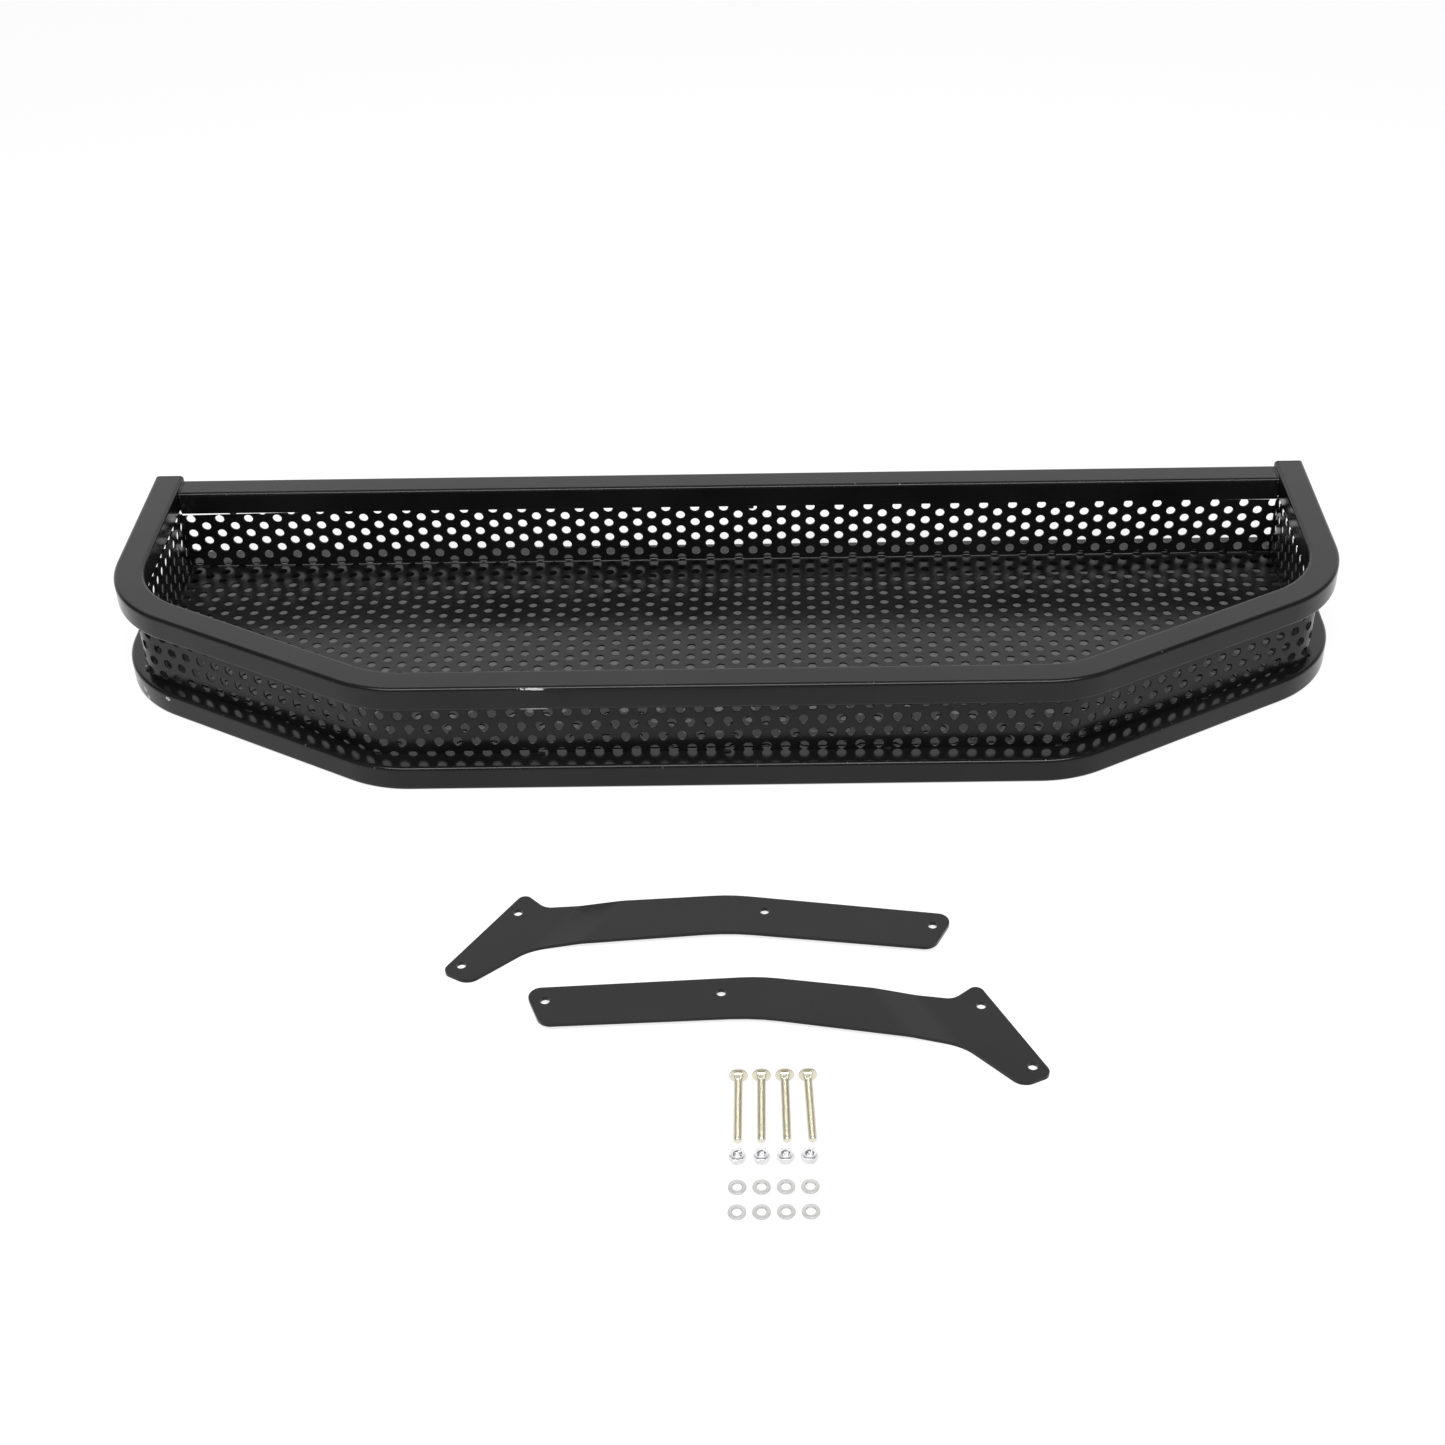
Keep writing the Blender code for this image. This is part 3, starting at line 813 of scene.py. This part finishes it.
def thread_radius(radius, z, depth=THREAD_DEPTH, fade=1.0):
    """The radius of a thread's surface at height z as a function of the angle."""
    def at(angle):
        phase = (z / THREAD_PITCH - angle / math.tau) % 1.0
        ramp = 1 - abs(2 * phase - 1)
        profile = min(max((ramp - 0.12) / 0.7, 0.0), 1.0)
        return radius - depth * fade * (1 - profile)
    return at


def neck_radius(half, corner):
    def at(angle):
        return min(half / max(abs(math.cos(angle)), abs(math.sin(angle))), corner)
    return at


BOLT_HEAD = 0.013
BOLT_HEAD_HEIGHT = 0.0035
BOLT_LENGTH = 0.055
BOLT_RADIUS = 0.003
BOLT_NECK = 0.004
BOLT_RIM = 0.0007           # height of the head's rim, under the dome
BOLT_DOME_STEPS = 9
THREAD_STEPS = 5


def bolt_mesh(name):
    """A domed head, a square neck and a threaded shank along -Z from the head's foot."""
    radius = BOLT_HEAD / 2
    rings = []
    for number in range(1, BOLT_DOME_STEPS + 1):
        turn = math.pi / 2 * number / BOLT_DOME_STEPS
        z = BOLT_RIM + (BOLT_HEAD_HEIGHT - BOLT_RIM) * math.cos(turn) ** 1.15
        rings.append((constant(radius * math.sin(turn) ** 1.05), constant(z)))
    rings.append((constant(radius), constant(BOLT_RIM * 0.35)))
    rings.append((constant(radius - 0.0003), constant(0.0)))
    corner = BOLT_RADIUS * 1.30
    rings.append((neck_radius(BOLT_RADIUS + 0.0003, corner + 0.0003), constant(0.0)))
    rings.append((neck_radius(BOLT_RADIUS, corner), constant(-0.0005)))
    rings.append((neck_radius(BOLT_RADIUS, corner), constant(-BOLT_NECK + 0.0008)))
    rings.append((constant(BOLT_RADIUS - 0.0001), constant(-BOLT_NECK - 0.0003)))
    z = -BOLT_NECK - 0.0006
    step = THREAD_PITCH / THREAD_STEPS
    tip = -BOLT_LENGTH
    while z > tip + 0.0007:
        fade = min(1.0, (-BOLT_NECK - z) / 0.002)
        rings.append((thread_radius(BOLT_RADIUS, z, fade=fade), constant(z)))
        z -= step
    rings.append((constant(BOLT_RADIUS - 0.0007), constant(tip + 0.0003)))
    rings.append((constant(BOLT_RADIUS - 0.0010), constant(tip)))
    return radial_mesh(name, rings, 32)


NUT_FLATS, NUT_BORE, NUT_HEIGHT = 0.010, 0.005, 0.005
NUT_FACE_RADIUS = NUT_FLATS / 2 * 0.97
NUT_CORNER_SLOPE = math.tan(math.radians(28))
NUT_ENTRY = 0.0006          # the countersink at each end of the bore
NUT_THREAD_DEPTH = 0.0005


def nut_mesh(name):
    """A hexagon with its corners turned down at both faces, and a threaded bore."""
    def hexagon(angle):
        return NUT_FLATS / 2 / math.cos((angle + math.pi / 6) % (math.pi / 3) - math.pi / 6)

    def top(angle):
        return NUT_HEIGHT - bottom(angle)

    def bottom(angle):
        return (hexagon(angle) - NUT_FACE_RADIUS) * NUT_CORNER_SLOPE

    bore_radius = NUT_BORE / 2
    rings = [
        (constant(bore_radius + NUT_ENTRY), constant(NUT_HEIGHT)),
        (constant(NUT_FACE_RADIUS), constant(NUT_HEIGHT)),
        (hexagon, top),
        (hexagon, bottom),
        (constant(NUT_FACE_RADIUS), constant(0.0)),
        (constant(bore_radius + NUT_ENTRY), constant(0.0)),
    ]
    z = NUT_ENTRY
    while z < NUT_HEIGHT - NUT_ENTRY + 1e-6:
        radius = thread_radius(bore_radius + NUT_THREAD_DEPTH, z, NUT_THREAD_DEPTH)
        rings.append((radius, constant(z)))
        z += THREAD_PITCH / THREAD_STEPS
    return radial_mesh(name, rings, 48, closed_column=True)


def washer_mesh(name):
    """A punched washer with its edges slightly rounded."""
    outer, inner, thickness, soft = 0.006, 0.0032, 0.0016, 0.00025
    section = [
        (inner + soft, thickness), (outer - soft * 1.6, thickness),
        (outer - soft * 0.4, thickness - soft * 0.4), (outer, thickness - soft * 1.4),
        (outer, soft), (outer - soft, 0.0), (inner + soft, 0.0), (inner, soft),
        (inner, thickness - soft),
    ]
    rings = [(constant(r), constant(z)) for r, z in section]
    return radial_mesh(name, rings, 56, closed_column=True)


BOLT_TURNS = (0.0, 0.0, 1.2, 2.4)
NUT_TURNS = (38.0, 30.0, 28.0, 32.0)
lean = math.asin((BOLT_HEAD / 2 - BOLT_RADIUS) / BOLT_LENGTH)
for number in range(4):
    node = f"bolt_{number + 1}"
    low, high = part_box(node)
    mesh = bolt_mesh(node)
    turn = math.radians(BOLT_TURNS[number])
    head_x = low.x + BOLT_HEAD / 2
    head_z = low.z + BOLT_HEAD / 2 * math.cos(lean)
    mesh.transform(
        Matrix.Translation((head_x, high.y - BOLT_HEAD_HEIGHT, head_z))
        @ Matrix.Rotation(turn, 4, "Z")
        @ Matrix.Rotation(lean - math.pi / 2, 4, "X")
    )
    stand_for(node, mesh, zinc_yellow, node)
    node = f"nut_{number + 1}"
    low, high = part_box(node)
    mesh = nut_mesh(node)
    mesh.transform(
        Matrix.Translation(((low.x + high.x) / 2, (low.y + high.y) / 2, low.z))
        @ Matrix.Rotation(math.radians(NUT_TURNS[number]), 4, "Z")
    )
    stand_for(node, mesh, zinc_bright, node)
for number in range(8):
    node = f"washer_{number + 1}"
    low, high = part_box(node)
    mesh = washer_mesh(node)
    mesh.transform(Matrix.Translation(((low.x + high.x) / 2, (low.y + high.y) / 2, low.z)))
    stand_for(node, mesh, zinc_dull, node)

# --------------------------------------------------------------------- stage
scene = bpy.context.scene


def studio_white(name, base, glow):
    """Matt white, lit from within by glow."""
    made, _, shader = new_material(name)
    shader.inputs["Base Color"].default_value = (base, base, base, 1)
    shader.inputs["Roughness"].default_value = 0.9
    shader.inputs["Specular IOR Level"].default_value = 0.1
    shader.inputs["Emission Color"].default_value = (1, 1, 1, 1)
    shader.inputs["Emission Strength"].default_value = glow
    return made


def stage_piece(name, outlines, z, finish):
    """A flat piece of the studio floor, with holes where outlines overlap."""
    curve = bpy.data.curves.new(name, "CURVE")
    curve.dimensions = "2D"
    curve.fill_mode = "BOTH"
    for outline in outlines:
        spline = curve.splines.new("POLY")
        spline.points.add(len(outline) - 1)
        for knot, point in zip(spline.points, outline):
            knot.co = (*point, 0, 1)
        spline.use_cyclic_u = True
    curve.materials.append(finish)
    made = bpy.data.objects.new(name, curve)
    made.location.z = z
    scene.collection.objects.link(made)


# A white floor lit from within by glow, and a grey card without glow where the basket covers it:
# painted shade under the basket
STAGE_Z = -0.0002
STAGE_HALF = 9.0
covered = rail_line(0.0, 0.0, step=math.radians(6))
around = [Vector((x * STAGE_HALF, y * STAGE_HALF)) for x, y in ((-1, -1), (1, -1), (1, 1), (-1, 1))]
stage_piece("studio_floor", [around, covered], STAGE_Z, studio_white("studio_white", 0.22, 0.81))
# Painted shade: the grey card under the basket keeps the floor seen through its holes dark
stage_piece("studio_floor_painted_shade", [covered], STAGE_Z, studio_white("studio_card_painted_shade", 0.52, 0.0))

# A studio all round: bright behind the basket, dim overhead and at the camera's side
SKY_TURN = (0.30, 0.75)     # y of the direction where it starts and stops brightening
SKY_DIM, SKY_BRIGHT = 0.26, 1.42
world = bpy.data.worlds.new("studio")
scene.world = world
world.use_nodes = True
sky = world.node_tree
background = sky.nodes["Background"]
background.inputs["Color"].default_value = (1, 1, 1, 1)
direction = add(sky, "TexCoord").outputs["Generated"]
towards_back = add(sky, "SeparateXYZ", {0: direction}).outputs["Y"]
values = {0: towards_back, 1: SKY_TURN[0], 2: SKY_TURN[1], 3: SKY_DIM, 4: SKY_BRIGHT}
strength = add(sky, "MapRange", values, interpolation_type="SMOOTHSTEP").outputs[0]
sky.links.new(strength, background.inputs["Strength"])


def softbox(name, at, aim, size, power):
    lamp = bpy.data.lights.new(name, "AREA")
    lamp.shape = "RECTANGLE"
    lamp.size, lamp.size_y = size
    lamp.energy = power
    made = bpy.data.objects.new(name, lamp)
    made.location = at
    made.rotation_euler = (Vector(aim) - Vector(at)).to_track_quat("-Z", "Y").to_euler()
    scene.collection.objects.link(made)


softbox("front_strip", (0.0, -1.3, 1.9), (0, -0.1, 0.05), (2.4, 0.8), 60)

CAMERA_AT = (0.0477, -1.6404, 1.0471)
CAMERA_PITCH, CAMERA_YAW, CAMERA_ROLL = 36.6388, 0.46445, 1.02306
camera = bpy.data.objects.new("camera", bpy.data.cameras.new("camera"))
scene.collection.objects.link(camera)
camera.data.lens = 52.223
camera.data.shift_x = -0.0332
camera.data.shift_y = -0.0021
camera.data.clip_end = 50
camera.matrix_world = (
    Matrix.Translation(CAMERA_AT)
    @ Matrix.Rotation(math.radians(CAMERA_YAW), 4, "Z")
    @ Matrix.Rotation(math.radians(90 - CAMERA_PITCH), 4, "X")
    @ Matrix.Rotation(math.radians(-CAMERA_ROLL), 4, "Z")
)
scene.camera = camera
scene.view_settings.view_transform = "Standard"
